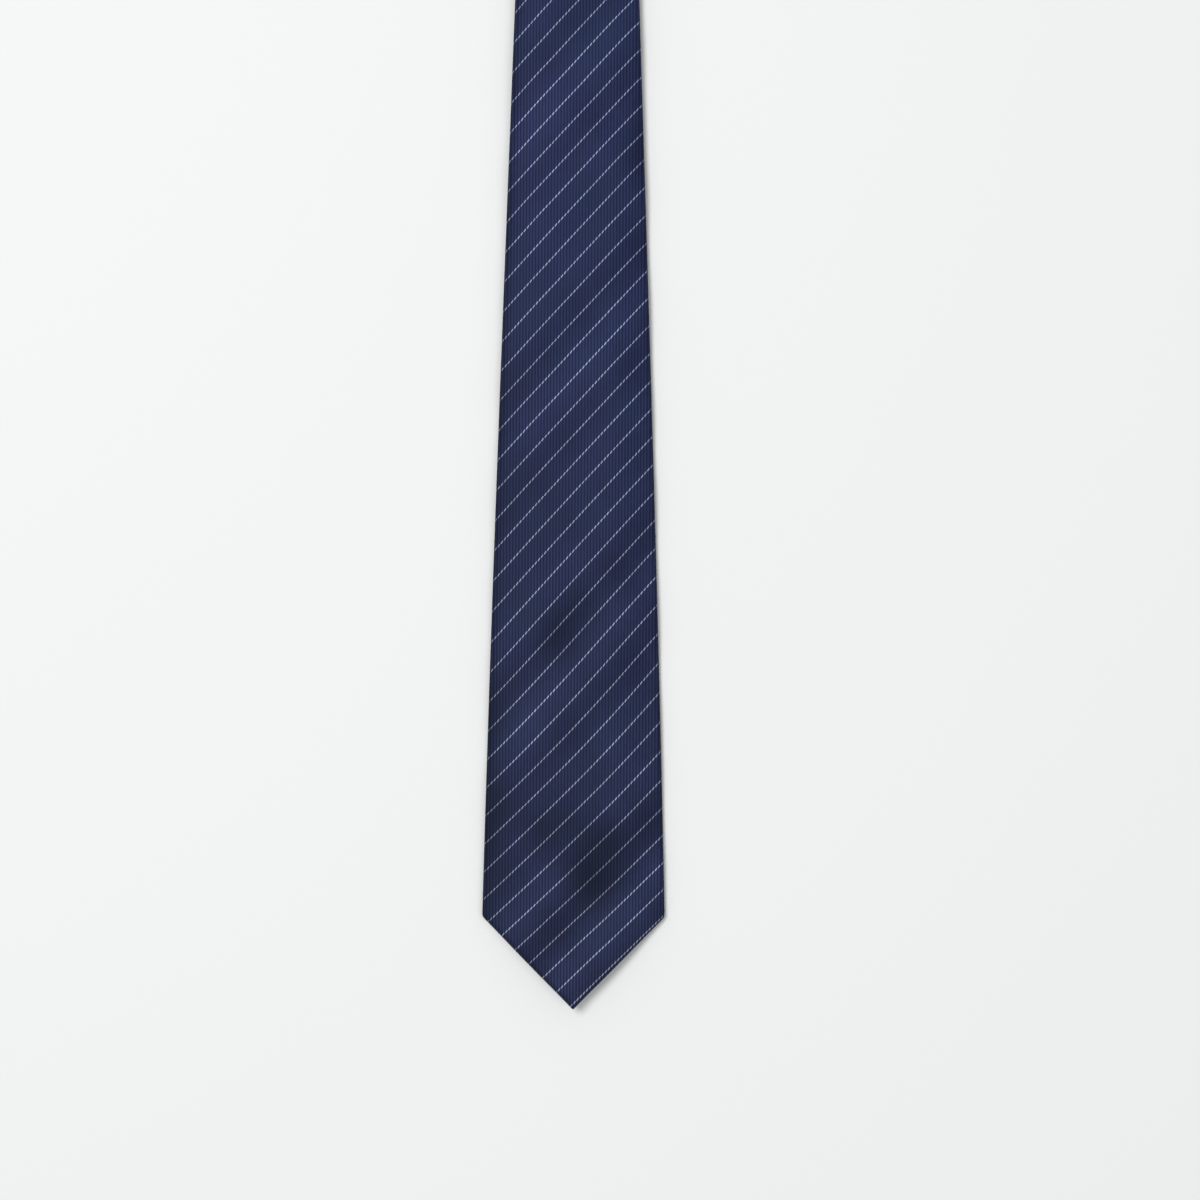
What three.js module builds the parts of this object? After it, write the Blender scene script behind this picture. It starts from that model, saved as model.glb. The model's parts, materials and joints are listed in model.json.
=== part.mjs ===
// A man's necktie, folded in half at the neck and laid down back to back: the tail blade lies face down
// and the front blade lies face up on it, crowned over the narrower tail.
//
// Frame, in millimetres: X across the tie, Y along it from the front tip (-Y) to the neck fold (+Y),
// Z up from the surface that the tie rests on. The origin is the middle of the bottom of the folded tie.
//
// The tie is a tube of cloth. Each blade is described by two numbers: "along", the distance from that
// blade's own tip, and "deep", the depth below its outer face. A blade's place() turns them into the frame.
import * as THREE from 'three';
import { mergeVertices } from 'three/addons/utils/BufferGeometryUtils.js';

// ---- driving dimensions ----
const totalLength = 1480;        // tip to tip, unfolded
const foldFromFrontTip = 755;    // where the neck folds
const frontWidth = 80;           // across the shoulders of the front blade
const tailWidth = 45;            // across the shoulders of the tail blade
const neckWidth = 35;            // the narrowest part, round the neck
const taperSwell = 0.25;         // how far the front blade's sides bow out from a straight taper

const clothThick = 0.45;         // the shell's silk, pressed
const interliningThick = 1.2;    // the brushed wool that gives the blade its body
const tippingThick = 0.3;        // the thin lining behind each point
const ribbonThick = 0.35;        // keeper loop, woven label and bar tacks
const tagThick = 0.25;           // the satin care tag
const threadRadius = 0.2;        // the sewing threads
const seamThreadRadius = 0.15;   // the finer thread of the piecing seams
const gap = 0.3;                 // clearance between pieces that lie on each other
const hingeGap = 0.35;           // half the slit left where a blade bends
const layerGap = 0.3;            // from the front blade's loop to the tail blade below

const overlap = 10;              // how far the two back flaps lap at the centre back
const lapRun = 2.5;              // the slope where the upper flap climbs over the lower one
const frontTack = 120;           // along the front blade: its bar tack, where the flaps part
const tailTack = 70;             // along the tail blade: its bar tack
const frontBorder = 9;           // cloth turned in round the front point, across the blade
const tailBorder = 6;            // the same round the tail point
const bluntTip = 4;              // the last of each point, where the folded corner ends
const liningInset = 6;           // interlining and tipping stop this much further in than the corner
const tippingReach = 25;         // how far the tipping runs up past the bar tack, under the flaps

const frontSeamInset = 55;       // the front piecing seam to the neck piece lies this far before the fold
const tailSeam = 440;            // along the tail blade: the piecing seam to the neck piece
const seamRun = 50;              // the length over which the 45 degree seam's slant dies away
const seamGap = 0.2;             // half the gap between two pieces at a seam

const droop = 4.2;               // how far the front blade's edges hang below its middle
const droopStart = 14;           // half width that stays level on the tail
const droopSpan = 26;            // the width over which the edges roll down
const turnBack = 265;            // along the front blade: where its lower part turns back
const turnBackRise = 0.5;        // the turn-back axis lies this far above the front blade's face

const loopAlong = 200;           // the middle of the keeper loop
const loopWide = 11;             // its size along the tie
const loopReach = 27;            // half its length, across the tie
const loopRise = 18;             // half the length that stands clear of the flaps
const labelAlong = 228;          // the middle of the woven label
const labelWide = 24;
const labelReach = 25;
const tagLong = 30;
const tagReach = 9;
const tackLong = 3;              // the sewn bars that hold the loop, the label and the flaps
const tackReach = 4.5;

// ---- what follows from them ----
const rollRadius = (gap * 3 + interliningThick + tippingThick + clothThick) / 2;
const flapDeep = clothThick / 2 + 2 * rollRadius;             // middle of the lower flap's cloth
const lapLift = clothThick + gap;                             // upper flap over lower flap
const bladeThick = flapDeep + lapLift + clothThick / 2;
const interliningDeep = clothThick + gap;
const tippingDeep = interliningDeep + interliningThick + gap;
const flapOuter = flapDeep + clothThick / 2;
const layerSpace = gap + ribbonThick + layerGap;              // between the two blades
const frontTop = 2 * bladeThick + layerSpace;                 // height of the front blade's face
const tailLength = totalLength - foldFromFrontTip;
const tailInset = foldFromFrontTip - tailLength;              // tail tip, in from the front tip
const frontSeam = foldFromFrontTip - frontSeamInset;
const middleY = (bluntTip + foldFromFrontTip - hingeGap) / 2;

const bodyStep = 75;             // sections along a blade's body, at most this far apart
const shortest = 0.4;            // and never closer than this

const smooth = (t) => { const c = Math.min(Math.max(t, 0), 1); return c * c * (3 - 2 * c); };
const sag = (x) => {
  const t = Math.min(Math.max((Math.abs(x) - droopStart) / droopSpan, 0), 1);
  return droop * (1 - Math.cos(Math.PI * t)) / 2;
};

// acrossStep and pointStep say how finely its sections follow the droop, across it and along its point.
function makeBlade(shoulderWidth, length, swell, tack, border, seam, place, acrossStep, pointStep) {
  const point = shoulderWidth / 2;                            // a right-angled point is this high
  return {
    length, tack, border, seam, place, acrossStep, pointStep, point,
    half(along) {
      if (along < point) return along;
      const u = Math.min((along - point) / (length - point), 1);
      const fall = 1 - u + swell * u * (1 - u) * (1 - 2 * u);
      return (neckWidth + (shoulderWidth - neckWidth) * fall) / 2;
    },
    // signed half opening between the flaps: negative where they lap
    opening(along) {
      const spread = point - border;
      if (along <= point) return Math.max(this.half(along) - border, gap);
      return Math.max(spread * (tack - along) / (tack - point), -overlap / 2);
    },
    slant(along) { return Math.max(0, 1 - Math.abs(along - seam) / seamRun); },
  };
}

const front = makeBlade(frontWidth, foldFromFrontTip, taperSwell, frontTack, frontBorder, frontSeam,
  (x, along, deep) => new THREE.Vector3(x, along - middleY, frontTop - deep - sag(x)), 6, 4);
const tail = makeBlade(tailWidth, tailLength, 0, tailTack, tailBorder, tailSeam,
  (x, along, deep) => new THREE.Vector3(x, tailInset + along - middleY, deep), neckWidth, tailWidth);

// ---- solids ----
function finish(geometry) {
  geometry.deleteAttribute('normal');
  geometry.deleteAttribute('uv');
  const merged = mergeVertices(geometry, 1e-5);
  const at = merged.attributes.position;
  const index = merged.index.array;
  const [a, b, c] = [new THREE.Vector3(), new THREE.Vector3(), new THREE.Vector3()];
  let volume = 0;
  for (let i = 0; i < index.length; i += 3) {
    a.fromBufferAttribute(at, index[i]);
    b.fromBufferAttribute(at, index[i + 1]);
    c.fromBufferAttribute(at, index[i + 2]);
    volume += a.dot(b.cross(c));
  }
  if (volume < 0) {
    for (let i = 0; i < index.length; i += 3) [index[i], index[i + 1]] = [index[i + 1], index[i]];
  }
  return merged;
}

// Joins outlines of the same number of points into one closed body. An outline is a list of [x, deep] that
// goes along one side of a strip and back along the other, so each end is closed by a row of quads.
function loft(blade, stations, outlineAt) {
  const outlines = stations.map((along) => outlineAt(along));
  const count = outlines[0].length;
  const vertices = [];
  const faces = [];
  const quad = (a, b, c, d) => faces.push(a, b, c, a, c, d);
  stations.forEach((along, row) => {
    for (const [x, deep, shift = 0] of outlines[row]) {
      vertices.push(...blade.place(x, along + shift, deep).toArray());
    }
    const [above, here] = [(row - 1) * count, row * count];
    for (let i = 0; i < count && row > 0; i++) {
      const j = (i + 1) % count;
      quad(above + i, above + j, here + j, here + i);
    }
  });
  const last = (stations.length - 1) * count;
  for (let i = 0; i < count / 2 - 1; i++) {
    const back = count - 1 - i;
    quad(i, back, back - 1, i + 1);
    quad(last + i, last + i + 1, last + back - 1, last + back);
  }
  const geometry = new THREE.BufferGeometry();
  geometry.setAttribute('position', new THREE.Float32BufferAttribute(vertices, 3));
  geometry.setIndex(faces);
  return finish(geometry);
}

// A strip of cloth seen end on: the line of its middle given a thickness, with mitred corners.
function thicken(line, thick) {
  const outer = [];
  const inner = [];
  line.forEach(([x, deep], i) => {
    const before = line[Math.max(i - 1, 0)];
    const after = line[Math.min(i + 1, line.length - 1)];
    const into = new THREE.Vector2(x - before[0], deep - before[1]).normalize();
    const out = new THREE.Vector2(after[0] - x, after[1] - deep).normalize();
    if (i === 0) into.copy(out);
    if (i === line.length - 1) out.copy(into);
    const along = into.clone().add(out).normalize();
    const reach = thick / 2 / along.dot(into);
    outer.push([x - along.y * reach, deep + along.x * reach]);
    inner.unshift([x + along.y * reach, deep - along.x * reach]);
  });
  return [...outer, ...inner];
}

function steps(from, to, size) {
  const count = Math.max(1, Math.round(Math.abs(to - from) / size));
  return Array.from({ length: count + 1 }, (_, i) => from + (to - from) * i / count);
}

// The shell in section: upper flap, rolled edge, face, rolled edge, lower flap.
function shellOutline(blade, along, across) {
  const half = blade.half(along);
  const open = blade.opening(along);
  const radius = Math.min(rollRadius, 0.45 * half);
  const centre = half - clothThick / 2 - radius;
  const low = clothThick / 2 + 2 * radius;
  const lapping = along > blade.point ? smooth((5 - 2 * open) / 4) : 0;
  const high = low + lapLift * lapping;
  const hem = gap + 0.1;                                      // cloth kept level before a free edge
  const climbEnd = lapping > 0 ? Math.min(open - 2 * hem, -open - hem) : -open - hem;
  const climbStart = lapping > 0 ? Math.min(open - 2 * hem - lapRun, climbEnd - hem) : climbEnd - hem;
  const pace = (from, to, deep, parts) => steps(0, parts, 1).map((i) => [from + (to - from) * i / parts, deep]);
  const roll = (side, turns) => turns.map((turn) => {
    const angle = turn * Math.PI / 3;
    return [side * (centre + radius * Math.sin(angle)), clothThick / 2 + radius * (1 - Math.cos(angle))];
  });
  const flaps = Math.max(1, Math.ceil(across / 3));
  const line = [
    [-open, high], [climbEnd, high], ...pace(climbStart, -centre, low, flaps), ...roll(-1, [2, 1]),
    ...pace(-centre, centre, clothThick / 2, across), ...roll(1, [1, 2]), ...pace(centre, open, low, flaps),
  ];
  return slanted(blade, along, thicken(line, clothThick));
}

// Near a piecing seam the sections lean to 45 degrees, so each point moves along the blade by its own x.
function slanted(blade, along, outline) {
  const slant = blade.slant(along);
  return slant === 0 ? outline : outline.map(([x, deep]) => {
    const ratio = x / blade.half(along);
    const trueX = ratio * blade.half(along + slant * x);
    return [trueX, deep, slant * trueX];
  });
}

// Where a piece has its sections: at its two ends, at the marks between them, and at places that every
// piece of the blade shares, so that their facets lie parallel.
function spaced(blade, from, to, marks = []) {
  const shared = [...steps(0, blade.point, blade.pointStep), ...steps(blade.point, blade.length, bodyStep)];
  const inside = [...shared, ...marks].filter((along) => along > from + shortest && along < to - shortest);
  return [from, ...inside.sort((a, b) => a - b), to]
    .filter((along, i, all) => i === 0 || along - all[i - 1] > shortest);
}

function shell(blade, from, to) {
  const { tack, point, border, seam } = blade;
  const spread = (point - border) / (tack - point);
  const lapped = tack + overlap / 2 / spread;
  const marks = [border + gap, tack - 2.5 / spread, tack - 0.5 / spread, tack, lapped,
    seam - seamRun, seam, seam + seamRun];
  const stations = spaced(blade, from, to, marks);
  const widest = Math.max(...stations.map((along) => blade.half(along)));
  const across = Math.max(1, Math.round(2 * widest / blade.acrossStep));
  return loft(blade, stations, (along) => shellOutline(blade, along, across));
}

// A flat layer between two depths, as wide as sideAt gives, or a strip across the blade.
function layer(blade, stations, left, right, deep, thick) {
  const parts = Math.max(1, Math.round(2 * blade.half(Math.max(...stations)) / blade.acrossStep));
  return loft(blade, stations, (along) => {
    const xs = steps(0, parts, 1).map((i) => left(along) + (right(along) - left(along)) * i / parts);
    return [...xs.map((x) => [x, deep]), ...xs.reverse().map((x) => [x, deep + thick])];
  });
}

function lining(blade, from, to, deep, thick) {
  const inset = clothThick / 2 + rollRadius;                  // square to the edge, on the point's slopes too
  const half = (along) => Math.min(blade.half(along) - inset, along - inset * Math.SQRT2);
  return layer(blade, spaced(blade, from, to), (along) => -half(along), half, deep, thick);
}

// A ribbon laid across the back, held at its ends and standing clear of the lapped flaps between them.
function crossRibbon(blade, along, wide, reach, rise, thick) {
  const low = flapOuter + gap;
  const high = bladeThick + gap;
  const climb = rise + 2 * lapRun;
  const line = [-reach, -climb, -rise, -rise / 2, 0, rise / 2, rise, climb, reach]
    .map((x) => [x, (Math.abs(x) < climb ? high : low) + thick / 2]);
  return loft(blade, [along - wide / 2, along + wide / 2], () => thicken(line, thick));
}

function bar(blade, x, along, halfAcross, long, deep, thick) {
  return loft(blade, [along - long / 2, along + long / 2], () => [
    [x - halfAcross, deep], [x + halfAcross, deep], [x + halfAcross, deep + thick], [x - halfAcross, deep + thick],
  ]);
}

const ring = (radius) => steps(0, 5, 1).map((i) => new THREE.Vector2(
  radius * Math.cos(i * Math.PI / 3), radius * Math.sin(i * Math.PI / 3)));

// A thread that runs along the blade, at x = xAt(along).
function thread(blade, stations, xAt, deep) {
  return loft(blade, stations, (along) => ring(threadRadius).map(({ x, y }) => [xAt(along) + x, deep + y]));
}

// A thread that crosses the blade, through the points given as [x, along].
function crossThread(blade, path, deep, radius) {
  const curve = new THREE.CatmullRomCurve3(path.map(([x, along]) => blade.place(x, along, deep)));
  return finish(new THREE.ExtrudeGeometry(new THREE.Shape(ring(radius)),
    { extrudePath: curve, steps: path.length * 2 }));
}

// ---- finishes ----
const finishOf = (color, roughness) => new THREE.MeshStandardMaterial({ color, roughness, metalness: 0 });
const navySilk = finishOf(0x2a3257, 0.62);
const navySatin = finishOf(0x1f2747, 0.45);
const woolCanvas = finishOf(0xd9d4c6, 0.95);
const navyThread = finishOf(0x1c2340, 0.7);
const woven = finishOf(0x20284a, 0.6);
const whiteSatin = finishOf(0xe8e8e6, 0.5);

const tie = new THREE.Group();
function add(name, geometry, material) {
  const mesh = new THREE.Mesh(geometry, material);
  mesh.name = name;
  tie.add(mesh);
}

// ---- the shell: three pieces of cloth, each crossed by a bend in two where it bends ----
add('front_shell_tip', shell(front, bluntTip, turnBack - hingeGap), navySilk);
add('front_shell_top', shell(front, turnBack + hingeGap, frontSeam - seamGap), navySilk);
add('neck_shell_front', shell(front, frontSeam + seamGap, front.length - hingeGap), navySilk);
add('neck_shell_tail', shell(tail, tailSeam + seamGap, tail.length - hingeGap), navySilk);
add('tail_shell', shell(tail, bluntTip, tailSeam - seamGap), navySilk);

// ---- inside it ----
const liningTip = bluntTip + liningInset;
add('front_interlining_tip',
  lining(front, liningTip, turnBack - hingeGap, interliningDeep, interliningThick), woolCanvas);
add('front_interlining_top',
  lining(front, turnBack + hingeGap, front.length - hingeGap, interliningDeep, interliningThick), woolCanvas);
add('tail_interlining',
  lining(tail, liningTip, tail.length - hingeGap, interliningDeep, interliningThick), woolCanvas);
add('front_tipping', lining(front, liningTip, frontTack + tippingReach, tippingDeep, tippingThick), navySatin);
add('tail_tipping', lining(tail, liningTip, tailTack + tippingReach, tippingDeep, tippingThick), navySatin);

// ---- sewing ----
for (const [name, blade] of [['front', front], ['tail', tail]]) {
  const clear = gap + threadRadius;
  const edge = (along) => blade.opening(along) - clear;
  const spread = (blade.point - blade.border) / (blade.tack - blade.point);
  const [low, high] = [blade.border + 3 * clear, blade.tack - 2 * clear / spread];
  const stations = spaced(blade, low, high);
  for (const [hand, side] of [['left', -1], ['right', 1]]) {
    add(`${name}_tipping_stitch_${hand}`,
      thread(blade, stations, (along) => side * edge(along), tippingDeep + tippingThick + clear), navyThread);
  }
  add(`${name}_bar_tack`, bar(blade, 0, blade.tack + overlap, tackReach, tackLong, bladeThick + gap, ribbonThick),
    navyThread);
}

// the slip stitch runs along the edge of the upper flap
const slip = (blade, from, to) => thread(blade, spaced(blade, from, to), () => overlap / 2 + gap + threadRadius,
  flapOuter + gap + threadRadius);
const slipStart = overlap * 2;
add('front_slip_stitch_tip', slip(front, frontTack + slipStart, turnBack - hingeGap), navyThread);
add('front_slip_stitch_top', slip(front, turnBack + hingeGap, front.length - hingeGap), navyThread);
add('tail_slip_stitch', slip(tail, tailTack + slipStart, tail.length - hingeGap), navyThread);

// the piecing seams are sewn at 45 degrees, inside, under the back flaps
for (const [name, blade] of [['front', front], ['tail', tail]]) {
  const reach = blade.half(blade.seam) - clothThick - rollRadius - 2 * gap;
  const deep = (interliningDeep + interliningThick + flapDeep - clothThick / 2) / 2;
  add(`${name}_seam_stitch`, crossThread(blade, steps(-reach, reach, reach / 2).map((x) => [x, blade.seam + x]),
    deep, seamThreadRadius), navyThread);
}

// ---- loop, label and tag on the backs of the blades ----
add('keeper_loop', crossRibbon(front, loopAlong, loopWide, loopReach, loopRise, ribbonThick), navySilk);
add('woven_label', crossRibbon(front, labelAlong, labelWide, labelReach, loopRise - 2, ribbonThick), woven);
for (const [hand, side] of [['left', -1], ['right', 1]]) {
  const deep = flapOuter + 2 * gap + ribbonThick;
  add(`keeper_loop_tack_${hand}`,
    bar(front, side * (loopReach - 1.5), loopAlong, 0.6, loopWide - 2, deep, ribbonThick), navyThread);
  add(`woven_label_stitch_${hand}`,
    bar(front, side * (labelReach - 1.5), labelAlong, 0.4, labelWide - 2, deep, ribbonThick), navyThread);
}
const tagTop = loopAlong - loopWide / 2 - gap;
add('care_tag', bar(front, 0, tagTop - tagLong / 2, tagReach, tagLong, bladeThick + gap, tagThick), whiteSatin);

export default tie;
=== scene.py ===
import json
import math
import bpy
import numpy as np
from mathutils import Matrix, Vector


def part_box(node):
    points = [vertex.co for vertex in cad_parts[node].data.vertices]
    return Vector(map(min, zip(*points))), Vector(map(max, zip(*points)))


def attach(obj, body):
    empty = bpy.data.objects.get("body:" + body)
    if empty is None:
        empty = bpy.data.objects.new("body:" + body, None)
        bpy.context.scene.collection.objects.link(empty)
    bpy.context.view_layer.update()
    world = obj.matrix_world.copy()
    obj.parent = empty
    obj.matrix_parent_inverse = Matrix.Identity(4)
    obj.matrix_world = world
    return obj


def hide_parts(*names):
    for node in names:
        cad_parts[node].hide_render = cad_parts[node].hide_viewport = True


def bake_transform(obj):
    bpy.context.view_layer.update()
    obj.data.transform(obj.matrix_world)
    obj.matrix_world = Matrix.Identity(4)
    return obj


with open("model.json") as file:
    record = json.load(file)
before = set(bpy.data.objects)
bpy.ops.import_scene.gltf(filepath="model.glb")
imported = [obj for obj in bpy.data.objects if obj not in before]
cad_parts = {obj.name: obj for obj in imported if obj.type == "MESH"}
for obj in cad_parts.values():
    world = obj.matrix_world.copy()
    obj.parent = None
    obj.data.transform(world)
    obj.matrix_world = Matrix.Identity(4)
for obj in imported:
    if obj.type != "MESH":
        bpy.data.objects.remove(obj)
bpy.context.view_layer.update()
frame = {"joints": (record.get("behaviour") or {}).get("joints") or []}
joints = {joint["name"]: joint for joint in frame["joints"]}
print("frame loaded")

# Sizes in millimetres, along each blade from its own tip, deep below its own face.
cloth = {"thick": 0.45, "gap": 0.3, "lining": 1.2, "tipping": 0.3, "ribbon": 0.35, "lap": 10, "lapRun": 2.5,
         "neck": 35, "seamRun": 50, "seamGap": 0.06, "seamPress": 0.12, "tipRound": 0.3, "cornerRound": 0.3,
         "mitre": 0.12}
front = {"shoulder": 80, "length": 755, "tack": 120, "border": 9, "seam": 700, "swell": 0.25}
tail = {"shoulder": 45, "length": 725, "tack": 70, "border": 6, "seam": 440, "swell": 0}
section = {"lapFrom": 5, "lapOver": 4, "slimHalf": 5, "slimShare": 0.3, "rollShare": 0.48, "slantShare": 0.9,
           "slantFade": 2, "leastFlat": 0.02, "flapEase": 1.5, "lapBack": 0.6, "pressReach": 0.9}
drape = {"droop": 4.2, "level": 14, "span": 26, "edgeSoft": 0.7, "edgePower": 8, "settle": 0.45,
         "tipFade": 30, "topFade": 60, "backWave": 0.12, "frontPitch": (9, 23), "tailPitch": (11, 19),
         "pucker": 0.1, "puckerPitch": 2.3, "puckerReach": 4, "foldBulge": 3.2, "foldHalf": 0.2,
         "foldShare": 0.8, "bendAbove": 3, "bendBelow": 8}

millimetre = 0.001
foldY, foldZ = [c / millimetre for c in joints["neck_unfold"]["pos_m"][1:]]
bendY = joints["blade_turn_back"]["pos_m"][1] / millimetre
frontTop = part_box("front_shell_tip")[1].z / millimetre
frontTipY = foldY - front["length"]
tailTipY = foldY - tail["length"]
bend = bendY - frontTipY
rollRadius = (cloth["gap"] * 3 + cloth["lining"] + cloth["tipping"] + cloth["thick"]) / 2
flapDeep = cloth["thick"] / 2 + 2 * rollRadius
lapLift = cloth["thick"] + cloth["gap"]
bladeThick = flapDeep + lapLift + cloth["thick"] / 2
liningDeep = cloth["thick"] + cloth["gap"]
tippingDeep = liningDeep + cloth["lining"] + cloth["gap"]
flapOuter = flapDeep + cloth["thick"] / 2
slipDeep = flapOuter + cloth["gap"]
seamDeep = liningDeep + cloth["lining"] + cloth["gap"] / 2

# the camera looks straight down on the front blade; places are in millimetres from its tip
view = {"across": 523, "right": 11.8, "up": 178.5, "lean": 0.24, "lens": 85, "sensor": 36,
        "nearest": 0.01}
studio = {"floor": (0.86, 0.86, 0.86, 1), "floorSize": 30, "floorDrop": 0.0002, "floorRoughness": 0.9,
          "floorSpecular": 0.1, "sky": 0.41, "skyTint": (0.97, 0.985, 0.985, 1), "middle": (0, -0.2, 0),
          "keyAt": (-1.05, 0.6, 2.9), "key": 59.3, "keySize": 1.4,
          "fillAt": (1.3, -0.9, 2.9), "fill": 15.6, "fillSize": 2.1}


def makeCamera():
    lean = math.radians(view["lean"])
    camera = bpy.data.objects.new("camera", bpy.data.cameras.new("camera"))
    camera.data.lens = view["lens"]
    camera.data.sensor_width = view["sensor"]
    camera.data.clip_start = view["nearest"]
    right = view["right"] * math.cos(lean) - view["up"] * math.sin(lean)
    up = view["up"] * math.cos(lean) + view["right"] * math.sin(lean)
    height = frontTop + view["across"] * view["lens"] / view["sensor"]
    camera.location = Vector((right, frontTipY + up, height)) * millimetre
    camera.rotation_euler = (0, 0, lean)
    bpy.context.scene.collection.objects.link(camera)
    bpy.context.scene.camera = camera


def areaLight(name, place, aim, size, watts):
    light = bpy.data.objects.new(name, bpy.data.lights.new(name, "AREA"))
    light.data.shape = "DISK"
    light.data.size = size
    light.data.energy = watts
    light.location = place
    light.rotation_euler = (Vector(aim) - Vector(place)).to_track_quat("-Z", "Y").to_euler()
    bpy.context.scene.collection.objects.link(light)


def makeStudio():
    bpy.ops.mesh.primitive_plane_add(size=studio["floorSize"], location=(0, 0, -studio["floorDrop"]))
    floor = bpy.context.object
    floor.name = "floor"
    paint = bpy.data.materials.new("floorPaper")
    paint.use_nodes = True
    shader = paint.node_tree.nodes["Principled BSDF"]
    shader.inputs["Base Color"].default_value = studio["floor"]
    shader.inputs["Roughness"].default_value = studio["floorRoughness"]
    shader.inputs["Specular IOR Level"].default_value = studio["floorSpecular"]
    floor.data.materials.append(paint)
    world = bpy.data.worlds.new("softRoom")
    world.use_nodes = True
    background = world.node_tree.nodes["Background"]
    background.inputs["Color"].default_value = studio["skyTint"]
    background.inputs["Strength"].default_value = studio["sky"]
    bpy.context.scene.world = world
    bpy.context.scene.view_settings.view_transform = "Standard"
    areaLight("keyLight", studio["keyAt"], studio["middle"], studio["keySize"], studio["key"])
    areaLight("fillLight", studio["fillAt"], studio["middle"], studio["fillSize"], studio["fill"])


makeCamera()
makeStudio()
print("camera and studio")


class Wire:
    # one output of a node tree: sums written on it become Math nodes
    def __init__(self, tree, socket=None):
        self.tree = tree
        self.socket = socket

    def node(self, kind, settings, inputs, output=0):
        made = self.tree.nodes.new(kind)
        for name, value in settings.items():
            setattr(made, name, value)
        for key, value in inputs.items():
            if isinstance(value, Wire):
                self.tree.links.new(value.socket, made.inputs[key])
            else:
                made.inputs[key].default_value = value
        return Wire(self.tree, made.outputs[output])

    def math(self, operation, *values):
        return self.node("ShaderNodeMath", {"operation": operation}, dict(enumerate(values)))

    def __add__(self, other):
        return self.math("ADD", self, other)

    def __sub__(self, other):
        return self.math("SUBTRACT", self, other)

    def __rsub__(self, other):
        return self.math("SUBTRACT", other, self)

    def __mul__(self, other):
        return self.math("MULTIPLY", self, other)

    def __truediv__(self, other):
        return self.math("DIVIDE", self, other)

    __radd__ = __add__
    __rmul__ = __mul__


def step(value, low, high):
    # a soft step from 0 at low to 1 at high; low may be the greater of the two
    settings = {"interpolation_type": "SMOOTHSTEP"}
    if low > high:
        return 1 - value.node("ShaderNodeMapRange", settings, {0: value, 1: high, 2: low})
    return value.node("ShaderNodeMapRange", settings, {0: value, 1: low, 2: high})


def blendColor(factor, first, second):
    return factor.node("ShaderNodeMix", {"data_type": "RGBA"}, {0: factor, 6: first, 7: second}, 2)


def point(across, along):
    return across.node("ShaderNodeCombineXYZ", {}, {0: across, 1: along})


def noise(place, scale, detail=2.0):
    return place.node("ShaderNodeTexNoise", {}, {"Vector": place, "Scale": scale, "Detail": detail})


def bump(height, strength, depth):
    return height.node("ShaderNodeBump", {}, {"Strength": strength, "Distance": depth, "Height": height})


def newFinish(name, sheen, sheenTint=(1, 1, 1, 1)):
    material = bpy.data.materials.new(name)
    material.use_nodes = True
    shader = material.node_tree.nodes["Principled BSDF"]
    shader.inputs["Sheen Weight"].default_value = sheen
    shader.inputs["Sheen Roughness"].default_value = 0.4
    shader.inputs["Sheen Tint"].default_value = sheenTint
    return material, shader, Wire(material.node_tree)


def connect(shader, values):
    for name, wire in values.items():
        wire.tree.links.new(wire.socket, shader.inputs[name])


def flatPlace(start):
    # where the cloth was before it was folded: across and along, in millimetres
    uv = start.node("ShaderNodeUVMap", {"uv_map": "flatCloth"}, {})
    across = start.node("ShaderNodeSeparateXYZ", {}, {0: uv}, 0)
    along = start.node("ShaderNodeSeparateXYZ", {}, {0: uv}, 1)
    return across * 1000, along * 1000


silk = {"navy": (0.0265, 0.0375, 0.112, 1), "groove": (0.0105, 0.0150, 0.047, 1),
        "deep": (0.016, 0.023, 0.066, 1), "deepShare": 0.4, "pale": (0.365, 0.42, 0.66, 1),
        "plum": (1.03, 0.985, 1.01, 1), "teal": (0.97, 1.01, 0.995, 1),
        "tipTint": (0.96, 0.93, 0.81, 1), "topTint": (1, 0.985, 0.96, 1), "tintFrom": 40, "tintTo": 420,
        "sheen": 0.04, "sheenTint": (0.55, 0.62, 0.95, 1), "specular": 0.07, "roughness": 0.5,
        "roughGain": 0.12, "paintedLightLow": 0.4, "paintedLightGain": 1.2, "relief": 0.55, "depth": 0.00022}
weft = {"rib": 1.36, "pick": 0.34, "stripeRise": 12.53, "firstStripe": 15.2, "slope": 1.02,
        "slopeGain": 0.065, "slopeFrom": 70, "slopeTo": 170, "pull": 3.0, "pullAt": 110,
        "pullReach": 70, "settle": 2.0,
        "settleAt": 66, "wander": 0.35, "dashLong": 1.5, "dashWide": 0.42, "dashLean": 58}


def stripeDash(along, aside, ribMiddle, flat):
    # each stripe is one slanting dash of pale thread on every rib
    # bias-cut cloth gives a little: the stripes wander slowly and steepen up the blade
    wander = (noise(flat, 0.012, 1.0) - 0.5) * (2 * weft["wander"])
    slope = step(along, weft["slopeFrom"], weft["slopeTo"]) * weft["slopeGain"] + weft["slope"]
    offPull = (along - weft["pullAt"]) / weft["pullReach"]
    pull = weft["pull"] * along.math("EXPONENT", offPull * offPull * -1)
    pull = pull + step(along, 0, weft["settleAt"]) * weft["settle"]
    rise = along + pull + wander - slope * ribMiddle - weft["firstStripe"]
    offLine = (along.math("FRACT", rise / weft["stripeRise"] + 0.5) - 0.5) * weft["stripeRise"]
    lean = math.radians(weft["dashLean"])
    dashAlong = along.math("ABSOLUTE", aside * math.cos(lean) + offLine * math.sin(lean))
    dashAside = along.math("ABSOLUTE", offLine * math.cos(lean) - aside * math.sin(lean))
    dash = step(dashAlong, weft["dashLong"] * 0.6, weft["dashLong"] * 0.4)
    return dash * step(dashAside, weft["dashWide"] * 0.7, weft["dashWide"] * 0.3)


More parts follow.
